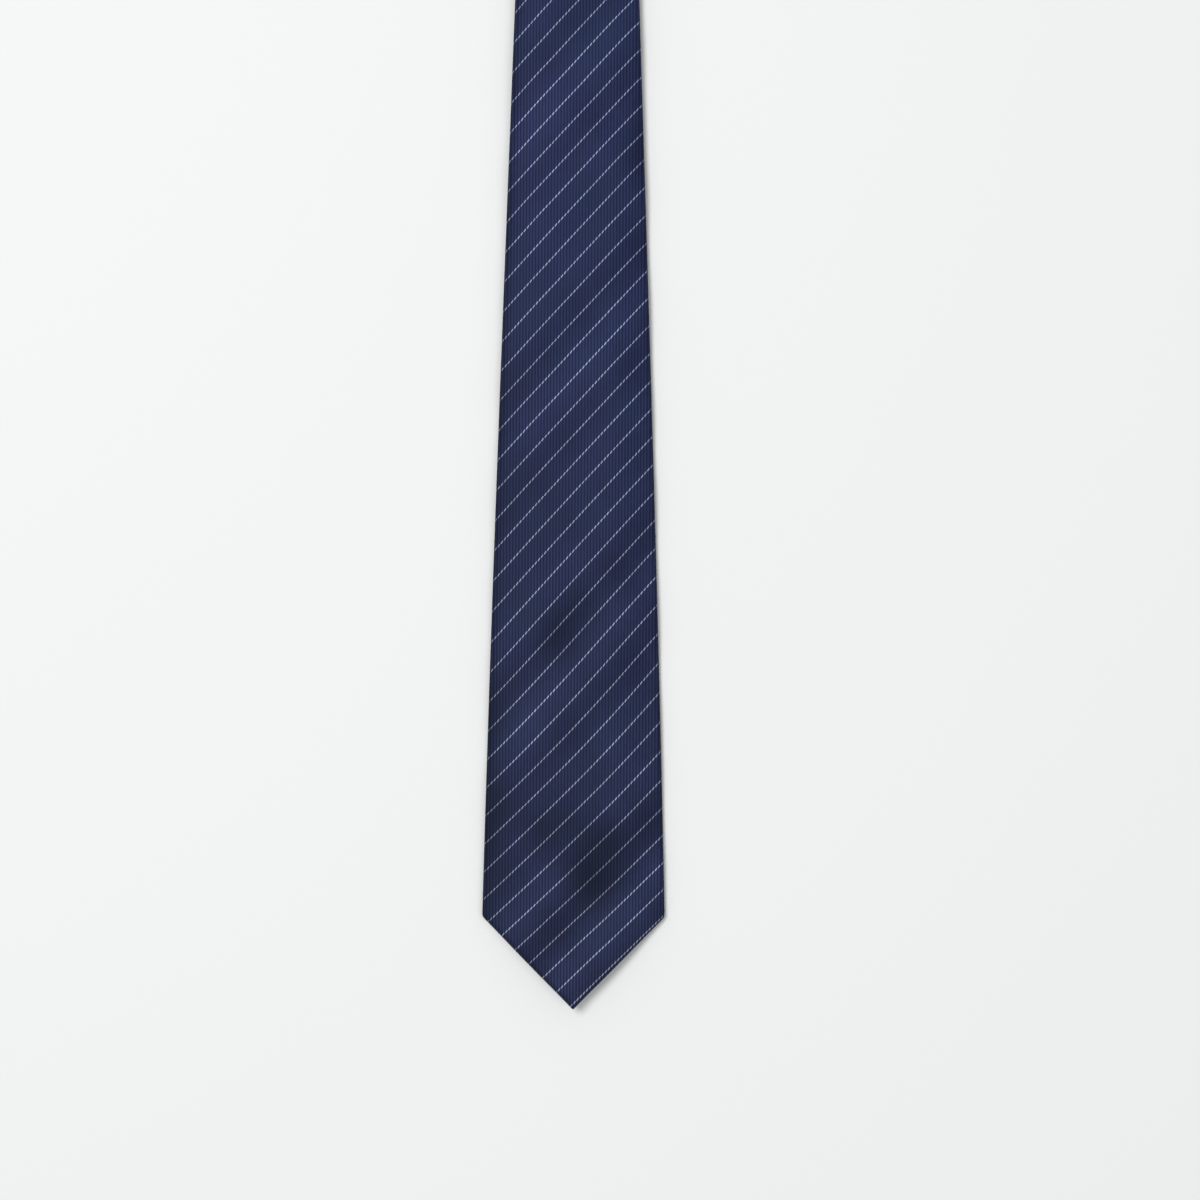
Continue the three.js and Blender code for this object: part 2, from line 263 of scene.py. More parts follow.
def makeSilk():
    material, shader, start = newFinish("shellSilk", silk["sheen"], silk["sheenTint"])
    across, along = flatPlace(start)
    flat = point(across, along)
    ribAt = start.math("FLOOR", across / weft["rib"])
    ribMiddle = (ribAt + 0.5) * weft["rib"]
    aside = across - ribMiddle
    dash = stripeDash(along, aside, ribMiddle, flat)
    # ribs of warp float with a groove between them, crossed by fine picks and uneven slubs
    ribHeight = start.math("COSINE", aside * (2 * math.pi / weft["rib"])) * 0.5 + 0.5
    picks = start.math("SINE", along * (2 * math.pi / weft["pick"]) + ribAt * 2.1)
    slub = noise(point(ribMiddle * 3.1, along * 0.35), 0.9, 3.0)
    # the grooves between the ribs take the darker colour: painted shade in the grooves, with the slubs'
    # random tone mixed in
    tone = step(ribHeight + (slub - 0.5) * 0.9, 0.0, 1.0)
    color = blendColor(tone, silk["groove"], silk["navy"])
    color = blendColor(step(noise(flat, 0.03, 3.0), 0.3, 0.7) * silk["deepShare"], color, silk["deep"])
    threadTone = step(noise(point(ribMiddle * 7.7, along * 0.2), 1.7, 1.0), 0.2, 0.7)
    color = blendColor(dash * (threadTone * 0.35 + 0.65), color, silk["pale"])
    # painted light: the colour is scaled by painted highlight and painted shade kept in the mesh, which
    # follow the lean of the face's waves, the painted patches and the shaded edges
    paintedLight = start.node("ShaderNodeAttribute", {"attribute_name": "paintedLight"}, {}, 2)
    paintedLight = paintedLight * silk["paintedLightGain"] + silk["paintedLightLow"]
    color = color.node("ShaderNodeVectorMath", {"operation": "SCALE"}, {0: color, 3: paintedLight})
    # the navy turns a little plum and a little teal in broad patches, and greyer towards each tip
    hue = blendColor(step(noise(flat, 0.022, 2.0), 0.35, 0.65), silk["plum"], silk["teal"])
    tint = blendColor(step(along, silk["tintFrom"], silk["tintTo"]), silk["tipTint"], silk["topTint"])
    for gain in (hue, tint):
        color = color.node("ShaderNodeVectorMath", {"operation": "MULTIPLY"}, {0: color, 1: gain})
    height = ribHeight * 0.6 + picks * 0.07 + dash * 0.5 + (slub - 0.5) * 0.3
    roughness = step(slub, 0.2, 0.8) * silk["roughGain"] + silk["roughness"]
    normal = bump(height, silk["relief"], silk["depth"])
    connect(shader, {"Base Color": color, "Roughness": roughness, "Normal": normal})
    shader.inputs["Specular IOR Level"].default_value = silk["specular"]
    return material


def makeWeave(name, weave):
    # a plain or satin weave in two tones, the darker one painted as shade in its hollows, with pale bands
    # across it where it has any
    material, shader, start = newFinish(name, weave["sheen"])
    shader.inputs["Specular IOR Level"].default_value = weave["specular"]
    across, along = flatPlace(start)
    turns = 2 * math.pi / weave["pitch"]
    relief = start.math("SINE", across * turns) * start.math("SINE", along * turns) * 0.5 + 0.5
    lumps = noise(point(across, along), weave["lumps"], 4.0)
    # darker where the relief is low: painted shade in the weave's hollows, mixed with the random lumps' tone
    color = blendColor(step(relief * 0.55 + lumps * 0.6, 0.15, 0.95), weave["dark"], weave["light"])
    for place in weave.get("bands", ()):
        near = start.math("ABSOLUTE", along - place)
        band = step(near, weave["bandWide"] * 0.6, weave["bandWide"] * 0.4)
        color = blendColor(band, color, weave["band"])
    roughness = lumps * 0.2 + weave["roughness"]
    normal = bump(relief + lumps * 0.8, 0.5, weave["depth"])
    connect(shader, {"Base Color": color, "Roughness": roughness, "Normal": normal})
    return material


thread = {"light": (0.045, 0.058, 0.13, 1), "dark": (0.014, 0.019, 0.05, 1), "ply": 900.0, "twist": 2.0,
          "sheen": 0.15, "roughness": 0.45, "roughGain": 0.15, "relief": 0.4, "depth": 0.00005}


def makeThread(name, look):
    material, shader, start = newFinish(name, look["sheen"])
    place = start.node("ShaderNodeTexCoord", {}, {}, 3)
    settings = {"wave_type": "BANDS", "bands_direction": "DIAGONAL"}
    waveSizes = {"Vector": place, "Scale": look["ply"], "Distortion": look["twist"]}
    ply = start.node("ShaderNodeTexWave", settings, waveSizes, 1)
    # darker where the ply is low: painted shade between the plies of the twist
    color = blendColor(ply, look["dark"], look["light"])
    roughness = ply * look["roughGain"] + look["roughness"]
    normal = bump(ply, look["relief"], look["depth"])
    connect(shader, {"Base Color": color, "Roughness": roughness, "Normal": normal})
    return material


satin = {"light": (0.020, 0.027, 0.070, 1), "dark": (0.010, 0.014, 0.040, 1), "pitch": 0.3, "lumps": 0.35,
         "roughness": 0.3, "sheen": 0.03, "specular": 0.25, "depth": 0.00003}
wool = {"light": (0.74, 0.71, 0.62, 1), "dark": (0.55, 0.52, 0.43, 1), "pitch": 1.1, "lumps": 0.5,
        "roughness": 0.75, "sheen": 0.5, "specular": 0.2, "depth": 0.00015}
damask = {"light": (0.022, 0.028, 0.075, 1), "dark": (0.012, 0.017, 0.048, 1), "pitch": 0.5, "lumps": 0.35,
          "roughness": 0.4, "sheen": 0.05, "specular": 0.25, "depth": 0.00004,
          "bands": (2.2, 21.8), "bandWide": 0.7, "band": (0.42, 0.45, 0.55, 1)}
tagCloth = {"light": (0.80, 0.80, 0.78, 1), "dark": (0.62, 0.62, 0.60, 1), "pitch": 0.35, "lumps": 0.3,
            "roughness": 0.35, "sheen": 0.1, "specular": 0.4, "depth": 0.00003}
finishes = {"silk": makeSilk(),
            "satin": makeWeave("tippingSatin", satin),
            "wool": makeWeave("interliningWool", wool),
            "label": makeWeave("labelDamask", damask),
            "tag": makeWeave("tagSatin", tagCloth),
            "thread": makeThread("navyThread", thread)}
print("finishes")


def smooth(t):
    t = np.clip(t, 0, 1)
    return t * t * (3 - 2 * t)


def halfWidth(blade, along):
    shoulder = blade["shoulder"] / 2
    u = np.clip((along - shoulder) / (blade["length"] - shoulder), 0, 1)
    fall = 1 - u + blade["swell"] * u * (1 - u) * (1 - 2 * u)
    body = (cloth["neck"] + (blade["shoulder"] - cloth["neck"]) * fall) / 2
    tip = np.sqrt(np.maximum(along, 0) ** 2 + 2 * cloth["tipRound"] * np.maximum(along, 0))
    soft = cloth["cornerRound"]
    return -soft * np.logaddexp(-body / soft, -tip / soft)


def opening(blade, along):
    # half the distance between the free edges of the two back flaps, below zero where they lap
    shoulder = blade["shoulder"] / 2
    upper = (shoulder - blade["border"]) * (blade["tack"] - along) / (blade["tack"] - shoulder)
    free = np.minimum(upper, halfWidth(blade, along) - blade["border"])
    return np.maximum(free, np.where(along > shoulder, -cloth["lap"] / 2, cloth["mitre"]))


def lappingOf(blade, along):
    lapping = smooth((section["lapFrom"] - 2 * opening(blade, along)) / section["lapOver"])
    return lapping * (along > blade["shoulder"] / 2 + 1)


def sag(x):
    t = np.clip((np.abs(x) - drape["level"]) / drape["span"], 0, 1)
    return drape["droop"] * (1 - np.cos(np.pi * t)) / 2


# slow waves of bias-cut cloth: height, and how far apart across and along; then shallow dents
waves = ((0.30, 61, 47, 0.4), (0.26, -53, 66, 1.9), (0.18, 38, -43, 3.1), (0.12, -27, -31, 5.2))
dents = ((3.5, 63, 10, 13, 0.9), (14, 77, 9, 12, 0.7), (16, 51, 10, 8, 0.5), (-11, 81, 12, 10, 0.35),
         (-4, 164, 11, 13, 0.5), (26, 330, 8, 22, 0.5), (20, 300, 8, 14, 0.3), (-17, 305, 9, 11, 0.3))


def ripple(x, along):
    height = -drape["settle"]
    for tall, wide, long, phase in waves:
        height = height + tall * np.sin(2 * np.pi * (x / wide + along / long) + phase)
    for right, up, wide, long, depth in dents:
        height = height - depth * np.exp(-((x - right) / wide) ** 2 - ((along - up) / long) ** 2)
    return height


# patches of painted shade (below zero) and painted highlight (above zero) on the face: where, how wide and
# long, and how much
paintedLightPatches = ((4, 66, 9, 12, -0.44), (14, 77, 8, 9, -0.32), (15, 53, 8, 8, -0.2), (-12, 80, 12, 9, -0.2),
           (-38, 90, 8, 55, -0.3), (-4, 164, 10, 16, -0.2), (30, 378, 7, 22, -0.34), (31, 322, 6, 16, -0.16),
           (-30, 240, 9, 40, -0.1), (27, 34, 10, 16, 0.16), (-20, 130, 10, 26, 0.12), (18, 112, 10, 18, 0.14),
           (-8, 22, 9, 9, 0.06), (10, 270, 12, 40, 0.1), (-12, 380, 10, 45, 0.1))
# painted light: how the painted highlight and shade follow the lean of the waves towards the lamp, and how
# far the painted shade reaches in from each edge
paintedLightLook = {"middle": 0.5, "tilt": 1.3, "tipTilt": 1.5, "tipReach": 150, "across": 0.85, "along": 0.5,
         "leftEdge": 5.0, "rightEdge": 2.6, "edgeShade": 0.65, "least": 0.05, "most": 1.1}


# painted highlight and shade for the face: lighter where the waves lean towards the lamp, darker where they
# lean away, in the patches and along the edges
def paintedLightOf(x, along, half):
    tilt = paintedLightLook["tilt"] + paintedLightLook["tipTilt"] * np.exp(-(along / paintedLightLook["tipReach"]) ** 2)
    height = paintedLightLook["middle"] + 0 * x
    for tall, wide, long, phase in waves:
        lean = tall * np.cos(2 * np.pi * (x / wide + along / long) + phase) * 2 * np.pi
        height = height + tilt * lean * (paintedLightLook["across"] / wide - paintedLightLook["along"] / long)
    for right, up, wide, long, gain in paintedLightPatches:
        height = height + gain * np.exp(-((x - right) / wide) ** 2 - ((along - up) / long) ** 2)
    # painted shade along the rolled edges: the left edge is painted darker further in than the right one
    reach = np.where(x < 0, paintedLightLook["leftEdge"], paintedLightLook["rightEdge"])
    edge = smooth((np.abs(x) - half + reach) / reach)
    return np.clip(height, paintedLightLook["least"], paintedLightLook["most"]) * (1 - paintedLightLook["edgeShade"] * edge)


def edgeDrop(blade, x, along):
    share = np.clip(np.abs(x) / np.maximum(halfWidth(blade, along), 1), 0, 1)
    return drape["edgeSoft"] * share ** drape["edgePower"]


def placeFront(x, along, deep):
    inside = np.clip(deep / bladeThick, 0, 1)
    fade = smooth(along / drape["tipFade"]) * smooth((front["length"] - along) / drape["topFade"])
    pitchAlong, pitchAcross = drape["frontPitch"]
    backWave = drape["backWave"] * np.sin(along / pitchAlong + x / pitchAcross)
    lift = ripple(x, along) * (1 - inside) + backWave * inside
    z = frontTop - deep - sag(x) - edgeDrop(front, x, along) + lift * fade
    return np.stack([x, along + frontTipY, z], -1)


def placeTail(x, along, deep):
    inside = np.clip(deep / bladeThick, 0, 1)
    fade = smooth(along / drape["tipFade"]) * smooth((tail["length"] - along) / drape["topFade"])
    pitchAlong, pitchAcross = drape["tailPitch"]
    z = deep + drape["backWave"] * np.sin(along / pitchAlong - x / pitchAcross) * inside * fade
    return np.stack([x, along + tailTipY, z + 0.5 * edgeDrop(tail, x, along) * (1 - inside)], -1)


def placeFold(x, turn, deep):
    # round the neck fold: turn is 0 at the front blade and pi at the tail blade
    upper = (1 + np.cos(turn)) / 2
    drop = edgeDrop(front, x, front["length"] + 0 * x)
    z = foldZ + (foldZ - deep) * np.cos(turn) - (sag(x) + drop) * upper
    lift = 0.5 * drop * (1 - np.clip(deep / bladeThick, 0, 1)) * (1 - upper)
    y = foldY + drape["foldBulge"] * (foldZ - deep) / foldZ * np.sin(turn)
    return np.stack([x, y, z + lift], -1)


def shellLine(blade, along, counts):
    # the middle of the shell's cloth in section: x, deep, and the distance round it from the face's middle
    flapCount, rollCount, faceCount = counts
    a = along[:, None]
    half = halfWidth(blade, a)
    shoulder = blade["shoulder"] / 2
    t = cloth["thick"] / 2
    slim = np.clip(half / section["slimHalf"], section["slimShare"], 1)
    radius = np.minimum(rollRadius * slim, section["rollShare"] * half)
    slanted = 1 + (math.sqrt(2) - 1) * smooth((shoulder + 1 - a) / section["slantFade"])
    wide = radius * np.minimum(slanted, (half - t) / radius * section["slantShare"])
    centre = half - t - wide
    low = t + 2 * radius
    least = section["leastFlat"]
    free = np.minimum(opening(blade, a), np.maximum(centre - least, least))
    spread = np.linspace(0, 1, flapCount) ** section["flapEase"]
    upperX = -free + (free - centre) * spread
    climbStart = free - cloth["lapRun"] - section["lapBack"]
    climb = smooth((upperX - climbStart) / cloth["lapRun"]) * lappingOf(blade, a)
    puckerFade = np.exp(-((upperX + free) / drape["puckerReach"]) ** 2)
    pucker = drape["pucker"] * np.sin(a / drape["puckerPitch"]) * puckerFade
    upperDeep = low + (lapLift + pucker) * climb
    angle = np.linspace(np.pi, 0, rollCount + 2)[1:-1]
    leftX = -(centre + wide * np.sin(angle))
    rollDeep = t + radius * (1 - np.cos(angle))
    faceX = centre * np.linspace(-1, 1, faceCount)
    lowerX = centre + (free - centre) * (1 - spread[::-1])
    x = np.concatenate([upperX, leftX, faceX, -leftX[:, ::-1], lowerX], 1)
    rolls = [upperDeep, rollDeep, t + 0 * faceX, rollDeep[:, ::-1], low + 0 * lowerX]
    deep = np.concatenate(rolls, 1)
    gaps = np.hypot(np.diff(x, axis=1), np.diff(deep, axis=1))
    wayRound = np.concatenate([np.zeros_like(a), np.cumsum(gaps, 1)], 1)
    middle = flapCount + rollCount + faceCount // 2
    return x, deep, wayRound - wayRound[:, middle:middle + 1] + x[:, middle:middle + 1]


def offsetLine(x, deep, amount):
    across = np.gradient(x, axis=1)
    down = np.gradient(deep, axis=1)
    size = np.hypot(across, down) + 1e-9
    return x - down / size * amount, deep + across / size * amount


def shellRows(blade, along, counts, place):
    # outer and inner points of the shell for sections at these places, and its flat coordinates
    x, deep, flatX = shellLine(blade, along, counts)
    a = along[:, None]
    slant = np.maximum(0, 1 - np.abs(a - blade["seam"]) / cloth["seamRun"])
    at = a + slant * x
    grow = halfWidth(blade, at) / halfWidth(blade, a)
    press = cloth["seamPress"] * np.exp(-((a - blade["seam"]) / section["pressReach"]) ** 2)
    press = press * np.sign(bladeThick / 2 - deep)
    sides = []
    for amount in (-cloth["thick"] / 2, cloth["thick"] / 2):
        offX, offDeep = offsetLine(x, deep, amount)
        sides.append(place(offX * grow, at, offDeep + press))
    # the face carries painted highlight and shade; everything else keeps the neutral middle
    onFace = deep < rollRadius * 2
    paintedLight = np.where(onFace, paintedLightOf(x, at, halfWidth(blade, at)), paintedLightLook["middle"])
    return sides[0], sides[1], np.stack([flatX, at], -1), paintedLight


def closedSheet(name, outer, inner, flat, finish, paintedLight=None):
    # a sheet of cloth closed all round, between two grids of points in millimetres
    if paintedLight is None:
        paintedLight = paintedLightLook["middle"] + 0 * flat[..., 0]
    rows, cols = outer.shape[:2]
    points = np.concatenate([outer.reshape(-1, 3), inner.reshape(-1, 3)]) * millimetre
    i, j = np.meshgrid(np.arange(rows - 1), np.arange(cols - 1), indexing="ij")
    a = (i * cols + j).ravel()
    skin = np.stack([a, a + 1, a + cols + 1, a + cols], 1)
    under = rows * cols
    row = np.arange(rows - 1) * cols
    col = np.arange(cols - 1)
    faces = [skin, skin[:, ::-1] + under]
    for start, move, flip in ((row, cols, False), (row + cols - 1, cols, True),
                              (col, 1, True), (col + (rows - 1) * cols, 1, False)):
        rim = np.stack([start, start + move, start + move + under, start + under], 1)
        faces.append(rim[:, ::-1] if flip else rim)
    faces = np.concatenate(faces)
    p = points[faces]
    volume = np.einsum("ij,ij->i", p[:, 0], np.cross(p[:, 1], p[:, 2]) + np.cross(p[:, 2], p[:, 3])).sum()
    if volume < 0:
        faces = faces[:, ::-1]
    mesh = bpy.data.meshes.new(name)
    mesh.from_pydata(points.tolist(), [], faces.tolist())
    layer = mesh.uv_layers.new(name="flatCloth")
    corner = np.zeros(len(mesh.loops), np.int32)
    mesh.loops.foreach_get("vertex_index", corner)
    uv = np.tile(flat.reshape(-1, 2), (2, 1))[corner] * millimetre
    layer.data.foreach_set("uv", uv.astype(np.float32).ravel())
    # painted highlight and shade at every point, which the silk multiplies into its colour
    paintedLightLayer = mesh.attributes.new("paintedLight", "FLOAT", "POINT")
    paintedLightLayer.data.foreach_set("value", np.tile(paintedLight.ravel(), 2).astype(np.float32))
    shade = np.arange(len(faces)) < 2 * len(skin)
    mesh.polygons.foreach_set("use_smooth", shade)
    mesh.materials.append(finish)
    piece = bpy.data.objects.new(name, mesh)
    bpy.context.scene.collection.objects.link(piece)
    return piece


def cutSize(flat):
    # the rectangle that the cloth is cut from and the cut's area, in metres
    wide = flat[:, -1, 0] - flat[:, 0, 0]
    long = np.abs(np.diff(flat[:, flat.shape[1] // 2, 1]))
    size = (float(np.abs(wide).max()) * millimetre, float(long.sum()) * millimetre)
    area = float(np.sum(long * np.abs(wide[1:] + wide[:-1]) / 2)) * millimetre ** 2
    return size, min(area, size[0] * size[1])


def declare(piece, flat, nodes):
    size, area = cutSize(flat)
    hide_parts(*nodes)
    print(piece.name, "cut from", [round(s, 4) for s in size], "area", round(area, 5))


def places(*stretches):
    # places along a blade from stretches of (from, to, step)
    parts = [np.linspace(a, b, max(2, round((b - a) / gap) + 1))[:-1] for a, b, gap in stretches]
    return np.append(np.concatenate(parts), stretches[-1][1])


# most of the turn-back is cloth below the hinge, so the bend doesn't press down into the tail blade
bendTop = (0, (bend + drape["bendAbove"] + frontTipY) * millimetre, 0)
bendTip = (0, (bend - drape["bendBelow"] + frontTipY) * millimetre, 0)
foldTop = (0, foldY * millimetre, (foldZ + drape["foldHalf"]) * millimetre)
foldTail = (0, foldY * millimetre, (foldZ - drape["foldHalf"]) * millimetre)
grid = {"frontCounts": (18, 8, 46), "narrowCounts": (14, 8, 28), "tipGap": 1.25, "gap": 2.5, "bendGap": 0.8,
        "bendSpare": 2, "seamBand": 6, "seamGap": 0.75, "tipStart": 0.2, "frontFine": 42, "tailFine": 25,
        "foldSteps": 18}


def makeFrontShell():
    low = bend - drape["bendBelow"] - grid["bendSpare"]
    high = bend + drape["bendAbove"] + grid["bendSpare"]
    along = places((grid["tipStart"], grid["frontFine"], grid["tipGap"]),
                   (grid["frontFine"], low, grid["gap"]), (low, high, grid["bendGap"]),
                   (high, front["seam"] - grid["seamBand"], grid["gap"]),
                   (front["seam"] - grid["seamBand"], front["seam"], grid["seamGap"]))
    outer, inner, flat, paintedLight = shellRows(front, along, grid["frontCounts"], placeFront)
    shell = closedSheet("frontShell", outer, inner, flat, finishes["silk"], paintedLight)
    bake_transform(shell)
    declare(shell, flat, ["front_shell_tip", "front_shell_top"])


def makeTailShell():
    along = places((grid["tipStart"], grid["tailFine"], grid["tipGap"]),
                   (grid["tailFine"], tail["seam"] - grid["seamBand"], grid["gap"]),
                   (tail["seam"] - grid["seamBand"], tail["seam"], grid["seamGap"]))
    outer, inner, flat, paintedLight = shellRows(tail, along, grid["narrowCounts"], placeTail)
    shell = closedSheet("tailShell", outer, inner, flat, finishes["silk"], paintedLight)
    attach(shell, "tail_blade")
    declare(shell, flat, ["tail_shell"])


def makeNeckShell():
    # the neck piece runs from the front blade's seam round the fold to the tail blade's seam
    start = front["seam"] + cloth["seamGap"]
    frontAlong = places((start, start + grid["seamBand"], grid["seamGap"]),
                        (start + grid["seamBand"], front["length"], grid["gap"]))
    end = tail["seam"] + cloth["seamGap"]
    tailAlong = places((end, end + grid["seamBand"], grid["seamGap"]),
                       (end + grid["seamBand"], tail["length"], grid["gap"]))[::-1]
    counts = grid["narrowCounts"]
    frontRows = shellRows(front, frontAlong, counts, placeFront)
    tailRows = shellRows(tail, tailAlong, counts, placeTail)
    turn = np.linspace(0, np.pi, grid["foldSteps"] + 1)[1:-1]
    foldRows = shellRows(front, front["length"] + 0 * turn, counts,
                         lambda x, at, deep: placeFold(x, turn[:, None], deep))
    foldLong = np.pi * foldZ * drape["foldShare"]
    foldFlat = foldRows[2]
    foldFlat[..., 1] = front["length"] + turn[:, None] / np.pi * foldLong
    tailFlat = tailRows[2]
    tailFlat[..., 1] = front["length"] + foldLong + tail["length"] - tailFlat[..., 1]
    outer, inner, flat, paintedLight = [np.concatenate(rows) for rows in zip(frontRows, foldRows, tailRows)]
    shell = closedSheet("neckShell", outer, inner, flat, finishes["silk"], paintedLight)
    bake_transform(shell)
    declare(shell, flat, ["neck_shell_front", "neck_shell_tail"])


def layer(name, blade, place, along, deep, thick, finish, cols):
    # a flat layer inside a blade, or behind its point, that stops short of the rolled edges
    inset = cloth["thick"] / 2 + rollRadius
    half = np.minimum(halfWidth(blade, along) - inset, along - inset * math.sqrt(2))[:, None]
    x = half * np.linspace(-1, 1, cols)
    at = along[:, None] + 0 * x
    outer = place(x, at, deep + 0 * x)
    inner = place(x, at, deep + thick + 0 * x)
    flat = np.stack([x, at], -1)
    return closedSheet(name, outer, inner, flat, finish), flat


lining = {"start": 8, "reach": 25, "cols": 17, "tippingCols": 31, "foldGap": 0.5,
          "bendLow": 10, "bendHigh": 5,
          "tipGap": 2, "gap": 4, "topGap": 5, "bendGap": 0.9, "tippingTipGap": 1.5, "tippingGap": 3}


def makeLinings():
    low = bend - lining["bendLow"]
    high = bend + lining["bendHigh"]
    frontAlong = places((lining["start"], grid["frontFine"], lining["tipGap"]),
                        (grid["frontFine"], low, lining["gap"]), (low, high, lining["bendGap"]),
                        (high, front["length"] - lining["foldGap"], lining["topGap"]))
    tailAlong = places((lining["start"], grid["tailFine"], lining["tipGap"]),
                       (grid["tailFine"], tail["length"] - lining["foldGap"], lining["gap"]))
    frontWool, flat = layer("frontInterlining", front, placeFront, frontAlong, liningDeep, cloth["lining"],
                            finishes["wool"], lining["cols"])
    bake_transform(frontWool)
    declare(frontWool, flat,
            ["front_interlining_tip", "front_interlining_top"])
    tailWool, flat = layer("tailInterlining", tail, placeTail, tailAlong, liningDeep, cloth["lining"],
                           finishes["wool"], lining["cols"])
    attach(tailWool, "tail_blade")
    declare(tailWool, flat, ["tail_interlining"])
    makeTipping("frontTipping", front, placeFront, "front_tip", "front_tipping")
    makeTipping("tailTipping", tail, placeTail, "tail_blade", "tail_tipping")


def makeTipping(name, blade, place, body, node):
    shoulder = blade["shoulder"] / 2 + 2
    along = places((lining["start"], shoulder, lining["tippingTipGap"]),
                   (shoulder, blade["tack"] + lining["reach"], lining["tippingGap"]))
    tipping, flat = layer(name, blade, place, along, tippingDeep, cloth["tipping"], finishes["satin"],
                          lining["tippingCols"])
    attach(tipping, body)
    declare(tipping, flat, [node])


makeTailShell()
makeFrontShell()
makeNeckShell()
makeLinings()
print("shells and linings")


loop = {"along": 200, "wide": 11, "reach": 27, "rise": 18, "run": 5, "thick": cloth["ribbon"], "edge": 0.12,
        "cols": 15}
label = {"along": 228, "wide": 24, "reach": 25, "rise": 16, "run": 5, "thick": cloth["ribbon"], "edge": 0.1,
         "cols": 25}
tag = {"along": 179.2, "wide": 30, "reach": 9, "rise": 14, "run": 5, "thick": 0.25, "edge": 0.06, "cols": 31}
ribbonGap = 0.8
ribbonLow = flapOuter + cloth["gap"]
ribbonHigh = ribbonLow + lapLift


def ribbon(name, size, finish):
    # a band across the back of the front blade: it lies on the flaps and steps over their lap
    x = places((-size["reach"], size["reach"], ribbonGap))[:, None]
    low = size["along"] - size["wide"] / 2
    high = size["along"] + size["wide"] / 2
    along = np.linspace(low, high, size["cols"])[None, :] + 0 * x
    climb = smooth((size["rise"] + size["run"] - np.abs(x)) / size["run"])
    deep = ribbonLow + (ribbonHigh - ribbonLow) * climb + 0 * along
    thin = size["edge"] * np.abs(np.linspace(-1, 1, size["cols"]))[None, :] ** 6 + 0 * x
    outer = placeFront(x + 0 * along, along, deep + size["thick"] - thin)
    inner = placeFront(x + 0 * along, along, deep + thin * 0.5)
    flat = np.stack([x + 0 * along, along - low], -1)
    return closedSheet(name, outer, inner, flat, finish), flat


def makeRibbons():
    for name, size, finish, held, slot, node in (
            ("keeperLoop", loop, "silk", "stretched", "shell_silk", "keeper_loop"),
            ("wovenLabel", label, "label", "laid", "label_weave", "woven_label"),
            ("careTag", tag, "tag", "laid", "tag_satin", "care_tag")):
        piece, flat = ribbon(name, size, finishes[finish])
        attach(piece, "front_tip")
        # these bands are cut along the blade's width, so their flat size is given across first
        declare(piece, flat[..., ::-1], [node])


makeRibbons()
print("loop, label and tag")


def stitchTree():
    # a row of stitches along a line of edges: one bead of thread at every step
    tree = bpy.data.node_groups.new("stitchRow", "GeometryNodeTree")
    face = tree.interface
    face.new_socket("Geometry", in_out="INPUT", socket_type="NodeSocketGeometry")
    for name, kind in (("Pitch", "Float"), ("Length", "Float"), ("Radius", "Float"), ("Lean", "Float"),
                       ("Wobble", "Float"), ("Seed", "Int"), ("Thread", "Material")):
        face.new_socket(name, in_out="INPUT", socket_type="NodeSocket" + kind)
    face.new_socket("Geometry", in_out="OUTPUT", socket_type="NodeSocketGeometry")
    given = {socket.name: Wire(tree, socket) for socket in tree.nodes.new("NodeGroupInput").outputs}
    start = Wire(tree)
    line = start.node("GeometryNodeMeshToCurve", {}, {"Mesh": given["Geometry"]})
    spacing = {"Curve": line, "Length": given["Pitch"]}
    row = start.node("GeometryNodeResampleCurve", {"mode": "LENGTH"}, spacing)
    tangent = start.node("GeometryNodeInputTangent", {}, {})
    facing = start.node("FunctionNodeAlignRotationToVector", {"axis": "X"}, {"Vector": tangent})
    wobble = start.node("FunctionNodeRandomValue", {"data_type": "FLOAT"},
                        {2: given["Wobble"] * -1, 3: given["Wobble"], 8: given["Seed"]}, 1)
    turn = start.node("ShaderNodeCombineXYZ", {}, {2: given["Lean"] + wobble})
    turned = start.node("FunctionNodeEulerToRotation", {}, {0: turn})
    settings = {"rotation_space": "LOCAL"}
    rotation = start.node("FunctionNodeRotateRotation", settings, {"Rotation": facing, "Rotate By": turned})
    sizes = {0: given["Length"] * 0.5, 1: given["Radius"], 2: given["Radius"]}
    size = start.node("ShaderNodeCombineXYZ", {}, sizes)
    bead = start.node("GeometryNodeMeshUVSphere", {}, {"Segments": 8, "Rings": 6, "Radius": 1.0})
    rounded = start.node("GeometryNodeSetShadeSmooth", {}, {"Geometry": bead})
    stitches = start.node("GeometryNodeInstanceOnPoints", {},
                          {"Points": row, "Instance": rounded, "Rotation": rotation, "Scale": size})
    real = start.node("GeometryNodeRealizeInstances", {}, {"Geometry": stitches})
    dressed = start.node("GeometryNodeSetMaterial", {}, {"Geometry": real, "Material": given["Thread"]})
    tree.links.new(dressed.socket, tree.nodes.new("NodeGroupOutput").inputs[0])
    return tree


stitchRow = stitchTree()


